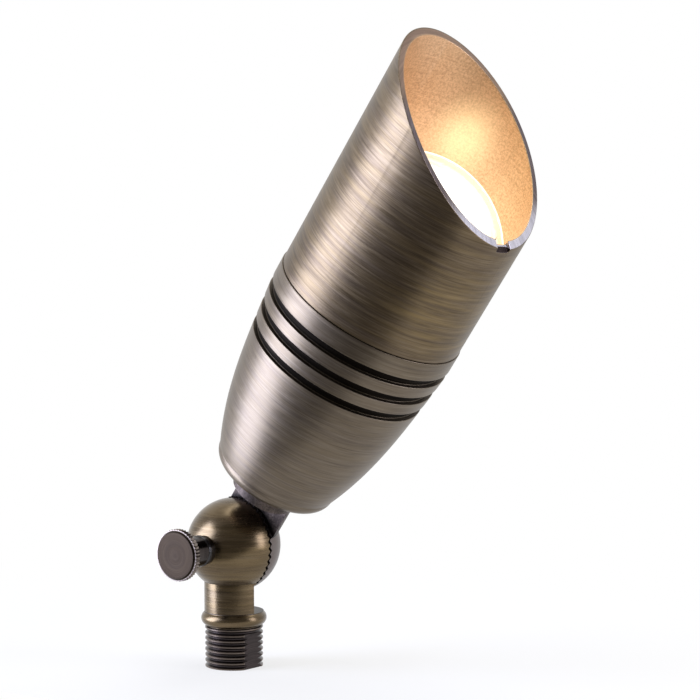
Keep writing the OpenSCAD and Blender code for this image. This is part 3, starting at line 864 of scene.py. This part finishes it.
@dataclass(frozen=True)
class Shroud:
    """The slanted tube over the lens, in the head's millimetres and in degrees."""

    radius: float = 34.15
    wall: float = 2.6
    length: float = 69.8
    slant: float = 31.7
    bow: float = 1.5
    spare: float = 40.0
    lip_at: float = 145.0
    lip_height: float = 1.0
    lip_width: float = 0.9
    lip_chamfer: float = 0.25
    notch_width: float = 7.2
    notch_depth: float = 1.25
    notch_reach: float = 4.0
    notch_height: float = 8.0
    notch_corner: float = 0.8
    notch_turn: float = -4.0
    chamfer: float = 0.3
    edge: float = 0.22
    edge_angle: float = 50.0
    steps: int = 240
    mouth_steps: int = 1440
    mouth_depth: float = 90.0

    def mouth_radius(self) -> float:
        """Radius of the large round that cuts the mouth."""
        half = self.radius / math.cos(math.radians(self.slant))
        return (half * half + self.bow * self.bow) / (2 * self.bow)

    def mouth_tool(self) -> bpy.types.Object:
        """Makes the round whose edge is the bowed mouth.

        Returns:
            The tool.
        """
        big = self.mouth_radius()
        bpy.ops.object.select_all(action="DESELECT")
        bpy.ops.mesh.primitive_cylinder_add(vertices=self.mouth_steps, radius=big, depth=self.mouth_depth,
                                            rotation=(math.pi / 2, 0.0, 0.0))
        tool = bpy.context.object
        turn = Matrix.Rotation(math.radians(self.slant), 4, "Y")
        tool.matrix_world = (Matrix.Translation((0.0, 0.0, JOINT + self.length)) @ turn
                             @ Matrix.Translation((0.0, 0.0, -big)) @ tool.matrix_world)
        return tool

    def notch_tool(self) -> bpy.types.Object:
        """Makes the block that cuts the weep notch at the mouth's short side.

        Returns:
            The tool.
        """
        slant = math.radians(self.slant)
        low = JOINT + self.length - self.radius * math.tan(slant) - self.bow / math.cos(slant)
        lean = slant + math.asin(self.radius / math.cos(slant) / self.mouth_radius())
        half = self.notch_width / 2
        tool = block((-self.notch_reach, -half, -self.notch_depth), (self.notch_reach, half, self.notch_height))
        apply_modifier(tool, "BEVEL", width=self.notch_corner, segments=4, limit_method="ANGLE")
        tool.matrix_world = (Matrix.Rotation(math.radians(self.notch_turn), 4, "Z")
                             @ Matrix.Translation((self.radius, 0.0, low)) @ Matrix.Rotation(lean, 4, "Y"))
        return tool

    def build(self) -> bpy.types.Object:
        """Makes the shroud.

        Returns:
            The finished piece.
        """
        bore, top = self.radius - self.wall, JOINT + self.length + self.spare
        lip, lip_top = bore - self.lip_width, self.lip_at + self.lip_height
        piece = turned("slanted_shroud", [
            (bore, JOINT), (self.radius - self.chamfer, JOINT), (self.radius, JOINT + self.chamfer),
            (self.radius, top), (bore, top), (bore, lip_top + self.lip_chamfer), (bore - self.lip_chamfer, lip_top),
            (lip, lip_top), (lip, self.lip_at), (bore, self.lip_at)], self.steps)
        cut(piece, self.mouth_tool(), "INTERSECT")
        cut(piece, self.notch_tool())
        apply_modifier(piece, "BEVEL", width=self.edge, segments=EDGE_SEGMENTS, limit_method="ANGLE",
                       angle_limit=math.radians(self.edge_angle), use_clamp_overlap=False)
        return settle(piece)

    @staticmethod
    def dress(piece: bpy.types.Object) -> None:
        """Dresses the shroud, copper inside, with a painted highlight on the short side of its rim, painted shade
        on the rim's sides, brown on its long side and painted shade in the weep notch, and puts it in its place.

        Args:
            piece: The finished piece.
        """
        inner = Zone((0.0, 31.7), (100.0, 200.0), (0.44, 0.26, 0.15), (0.70, 0.46, 0.29), 0.52, 0.08, speckle=0.6)
        # Painted highlight on the rim's end face at its short side, and painted shade on its sides
        rim_painted_highlight = Zone((31.82, 33.98), (140.0, 164.0), (0.40, 0.385, 0.44), (0.62, 0.60, 0.68), 0.3, fade=4.0)
        rim_painted_shade = Zone((31.82, 33.98), (164.0, 184.0), (0.07, 0.05, 0.055), (0.17, 0.135, 0.145), 0.2, fade=4.0)
        brown_rim = Zone((31.6, 33.7), (184.0, 210.0), (0.16, 0.105, 0.075), (0.28, 0.19, 0.14), 0.4, fade=4.0)
        # Painted shade: the weep notch's faces near black
        notch = Zone((31.7, 34.0), (150.0, 154.9), (0.012, 0.008, 0.008), (0.035, 0.022, 0.02), 0.5)
        finish = TurnedBrass(
            "turned_brass_shroud", Frame.HEAD, zones=(inner, rim_painted_highlight, rim_painted_shade, brown_rim, notch),
            glow=InnerGlow((-16.22, 27.06, 166.39)), worn_and_painted_light=WornAndPaintedLight((0.936, -0.352), (114.0, 140.0), (22.0, 34.0)))
        fit_piece(piece, "shroud", "shroud", finish)


@dataclass(frozen=True)
class Housing:
    """The tapered body with its three turned grooves, in the head's millimetres."""

    bottom: float = 30.7
    bottom_r: float = 22.7
    top_r: float = 34.5
    corner: float = 5.0
    corner_steps: int = 12
    bow: float = 2.4
    bias: float = 0.9
    collar: float = 8.5
    side_step: float = 1.5
    least_step: float = 0.5
    groove_width: float = 3.1
    groove_depth: float = 1.9
    groove_shade: float = 2.84
    groove_shade_r: float = 33.2
    edge: float = 0.18
    edge_angle: float = 40.0
    stem_hole_r: float = 8.15
    spigot_r: float = 31.49
    spigot_top: float = 116.5
    ring_r: float = 29.1
    ring: Span = (109.9, 112.3)
    chamber_r: float = 27.5
    chamber_floor: float = 74.1
    cone_r: Span = (18.0, 25.2)
    cone_bottom: float = 34.7
    boss_r: float = 3.3
    boss_bottom: float = 62.1
    boss_away: float = 23.19
    boss_steps: int = 32
    steps: int = 180

    def side(self, station: float) -> float:
        """Gives the radius of the outside.

        Args:
            station: The place along the head.

        Returns:
            The radius there.
        """
        low, high = self.bottom + self.corner, JOINT - self.collar
        t = min(1.0, max(0.0, (station - low) / (high - low)))
        return (self.bottom_r * (1 - t) + self.top_r * t
                + 4 * self.bow * t * (1 - t) * (1 + self.bias * (0.5 - t)))

    def outline(self) -> List[Point2]:
        """Gives the outside of the body from its bottom up to the joint.

        Returns:
            Points of radius and station.
        """
        half = self.groove_width / 2
        station = self.bottom + self.corner
        points = arc((self.bottom_r - self.corner, station), self.corner, -90, 0, self.corner_steps)
        ahead = sorted(GROOVES)
        while station < JOINT:
            station = min(station + self.side_step, JOINT)
            if ahead and ahead[0] - half <= station:
                groove = ahead.pop(0)
                low, high = groove - half, groove + half
                deep = self.side(groove) - self.groove_depth
                points += [(self.side(low), low), (deep, low), (deep, high), (self.side(high), high)]
                station = high
            elif not ahead or ahead[0] - half - station > self.least_step:
                points.append((self.side(station), station))
        return points

    def build(self) -> bpy.types.Object:
        """Makes the housing.

        Returns:
            The finished piece.
        """
        ring_low, ring_high = self.ring
        cone_low_r, cone_high_r = self.cone_r
        piece = turned("turned_housing", [(self.stem_hole_r, self.bottom)] + self.outline() + [
            (self.spigot_r, JOINT), (self.spigot_r, ring_low), (self.ring_r, ring_low), (self.ring_r, ring_high),
            (self.spigot_r, ring_high), (self.spigot_r, self.spigot_top), (self.chamber_r, self.spigot_top),
            (self.chamber_r, self.chamber_floor), (cone_high_r, self.chamber_floor),
            (cone_low_r, self.cone_bottom), (self.stem_hole_r, self.cone_bottom)], self.steps)
        apply_modifier(piece, "BEVEL", width=self.edge, segments=EDGE_SEGMENTS, limit_method="ANGLE",
                       angle_limit=math.radians(self.edge_angle))
        for side in (-1, 1):
            boss = drum(self.boss_r, self.boss_bottom, self.chamber_floor, self.boss_steps)
            pick_only(boss)
            bpy.ops.transform.translate(value=(0.0, side * self.boss_away, 0.0))
            cut(piece, boss, "UNION")
        return settle(piece)

    def dress(self, piece: bpy.types.Object) -> None:
        """Dresses the housing, with painted shade, nearly black, in its grooves, and puts it in its place.

        Args:
            piece: The finished piece.
        """
        half = self.groove_shade / 2
        # Painted shade: the grooves' floors and walls near black
        grooves = tuple(Zone((0.0, self.groove_shade_r), (groove - half, groove + half), (0.004, 0.0034, 0.0028),
                             (0.018, 0.014, 0.011), 0.6, fade=0.3) for groove in GROOVES)
        finish = TurnedBrass(
            "turned_brass_housing", Frame.HEAD, dark=(0.078, 0.060, 0.044), middle=(0.150, 0.121, 0.090),
            rubbed=(0.235, 0.196, 0.148), tint=(0.200, 0.155, 0.096), cool=(0.120, 0.098, 0.092), seed=11.0,
            zones=grooves)
        fit_piece(piece, "housing", "head", finish)


class SubAssembly:
    """Pieces that keep their nodes' own meshes and get new finishes."""

    def finishes(self) -> Table:
        """Gives the finishes, each with the nodes that wear it."""
        raise NotImplementedError

    def dress(self, nodes: Dict[str, bpy.types.Object]) -> None:
        """Dresses the pieces.

        Args:
            nodes: The frame's nodes by name.
        """
        for finish, names in self.finishes():
            material = finish.material()
            for name in names:
                dress(nodes[name], material)
        LOG.info("%s dressed", type(self).__name__)


@dataclass(frozen=True)
class Knuckle(SubAssembly):
    """The threaded base, the stem, the thumbscrew and its washer, in millimetres of their frames."""

    thread_r: float = 12.0
    crest_r: float = 10.25
    thread: Span = (-1.0, 14.8)
    teeth_r: Span = (17.05, 20.0)
    teeth: Span = (38.0, 50.0)
    shelf_r: float = 12.5
    shelf: Span = (19.85, 20.15)
    shank_r: float = 6.5
    shank: Span = (-20.0, 28.78)
    knurl_r: Span = (8.6, 12.0)
    knurls: Span = (28.8, 32.1)

    def base_finish(self) -> TurnedBrass:
        """Gives the base's finish: golden, with a black thread that carries a painted highlight on its crest tips,
        and painted shade on the boss and on the shelf above the bead.

        Returns:
            The finish.
        """
        thread = Zone((0.0, self.thread_r), self.thread, (0.020, 0.015, 0.014), (0.060, 0.045, 0.044), 0.3)
        # Painted highlight: the thread's crest tips lighter all round
        crest_painted_highlight = Zone((self.crest_r, self.thread_r), self.thread, (0.09, 0.07, 0.057), (0.19, 0.15, 0.125), 0.3,
                      soft=0.1)
        # Painted shade: near black on the boss between the ball and the washer, the only part beyond the ball's
        # radius at the pivot's height
        teeth = Zone(self.teeth_r, self.teeth, (0.02, 0.016, 0.012), (0.04, 0.03, 0.022), 0.3)
        # Painted shade: the flat shelf on top of the bead near black
        shelf = Zone((0.0, self.shelf_r), self.shelf, (0.02, 0.015, 0.010), (0.05, 0.038, 0.028), 0.5)
        return TurnedBrass(
            "golden_brass_base", Frame.STAKE, dark=(0.050, 0.034, 0.017), middle=(0.118, 0.083, 0.044),
            rubbed=(0.195, 0.148, 0.088), tint=(0.185, 0.130, 0.062), cool=(0.09, 0.066, 0.048), roughness=0.27,
            seed=40.0, coat=0.25, golden=0.6, zones=(thread, crest_painted_highlight, teeth, shelf))

    def screw_finish(self) -> TurnedBrass:
        """Gives the thumbscrew's finish: nearly black, with paler knurls.

        Returns:
            The finish.
        """
        shank = Zone((0.0, self.shank_r), self.shank, (0.022, 0.018, 0.017), (0.07, 0.058, 0.054), 0.2)
        knurls = Zone(self.knurl_r, self.knurls, (0.07, 0.057, 0.049), (0.27, 0.225, 0.195), 0.3)
        return TurnedBrass(
            "bronzed_screw", Frame.SCREW, dark=(0.014, 0.0098, 0.0066), middle=(0.026, 0.0185, 0.013),
            rubbed=(0.046, 0.034, 0.024), tint=(0.040, 0.028, 0.017), cool=(0.020, 0.0148, 0.011), roughness=0.42,
            line_depth=0.002, zones=(shank, knurls))

    def finishes(self) -> Table:
        """Gives the finishes, each with the nodes that wear it.

        Returns:
            The pairs of a finish and names.
        """
        return (
            (self.base_finish(), ("lower_knuckle",)),
            (CastBrass("cast_brass_stem", Frame.HEAD), ("upper_knuckle",)),
            (self.screw_finish(), ("thumbscrew",)),
            (Painted("black_washer_lacquer", (0.02, 0.018, 0.02), 0.25, 0.6, coat=0.5), ("thumbscrew_washer",)))


class Fittings(SubAssembly):
    """The nuts, seals, screws, leads and holders inside."""

    def finishes(self) -> Table:
        """Gives the finishes, each with the nodes that wear it.

        Returns:
            The pairs of a finish and names.
        """
        return (
            (Painted("bright_brass_fittings", (0.72, 0.56, 0.30), 0.3, 1.0), ("stem_nut", "socket_contacts")),
            (Painted("stainless_fittings", (0.62, 0.62, 0.63), 0.35, 1.0),
             ("stem_washer", "socket_bracket", "bracket_screws", "socket_screws")),
            (Painted("black_rubber_seals", (0.03, 0.03, 0.03), 0.8, depth=0.03),
             ("cable_bush", "stem_gasket", "wire_seal_plug", "housing_o_ring")),
            (Painted("black_lead_sleeve", (0.02, 0.02, 0.02), 0.45), ("black_lead",)),
            (Painted("white_lead_sleeve", (0.82, 0.82, 0.80), 0.45, spread=0.08), ("white_lead",)),
            (Painted("white_ceramic", (0.86, 0.85, 0.80), 0.35, depth=0.02, spread=0.08),
             ("lamp_socket", "lamp_base")))


class LampAndLens(SubAssembly):
    """The lamp, the lens and what holds the lens."""

    def finishes(self) -> Table:
        """Gives the finishes, each with the nodes that wear it.

        Returns:
            The pairs of a finish and names.
        """
        return (
            (Painted("plated_lamp_pins", (0.74, 0.74, 0.75), 0.15, 1.0), ("lamp_pins",)),
            (Painted("mirrored_reflector", (0.88, 0.88, 0.88), 0.12, 1.0, spread=0.05), ("lamp_reflector",)),
            (Painted("yellow_light_source", (0.95, 0.72, 0.25), 0.6, spread=0.1), ("led_emitter",)),
            (Painted("lamp_face", (0.85, 0.87, 0.87), 0.1, spread=0.05, coat=0.5), ("lamp_face_glass",)),
            (LitGlass("lit_lens_glass"), ("lens",)),
            (Painted("pale_silicone", (0.62, 0.61, 0.57), 0.6), ("lens_gasket",)),
            (TurnedBrass("turned_brass_ring", Frame.HEAD), ("lens_retaining_ring",)))


def dress(node: bpy.types.Object, material: bpy.types.Material) -> None:
    """Gives a node one material in place of its own.

    Args:
        node: The object.
        material: The material.
    """
    node.data.materials.clear()
    node.data.materials.append(material)
    LOG.info("%s wears %s", node.name, material.name)


def fit_piece(piece: bpy.types.Object, node: str, body: str, finish: TurnedBrass) -> None:
    """Puts a finished piece in a node's place.

    Args:
        piece: The finished piece.
        node: The node that it replaces.
        body: The body that it rides on.
        finish: Its finish.
    """
    dress(piece, finish.material())
    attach(piece, body)
    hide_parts(node)


def main() -> None:
    """Builds the studio and dresses the object."""
    logging.basicConfig(level=logging.INFO)
    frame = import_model()
    bpy.ops.object.select_all(action="DESELECT")
    bpy.context.scene.view_settings.view_transform = "Standard"
    Studio().build()
    for pieces in (Knuckle(), Fittings(), LampAndLens()):
        pieces.dress(frame["nodes"])
    for own in (Shroud(), Housing()):
        own.dress(own.build())


if __name__ == "__main__":
    main()
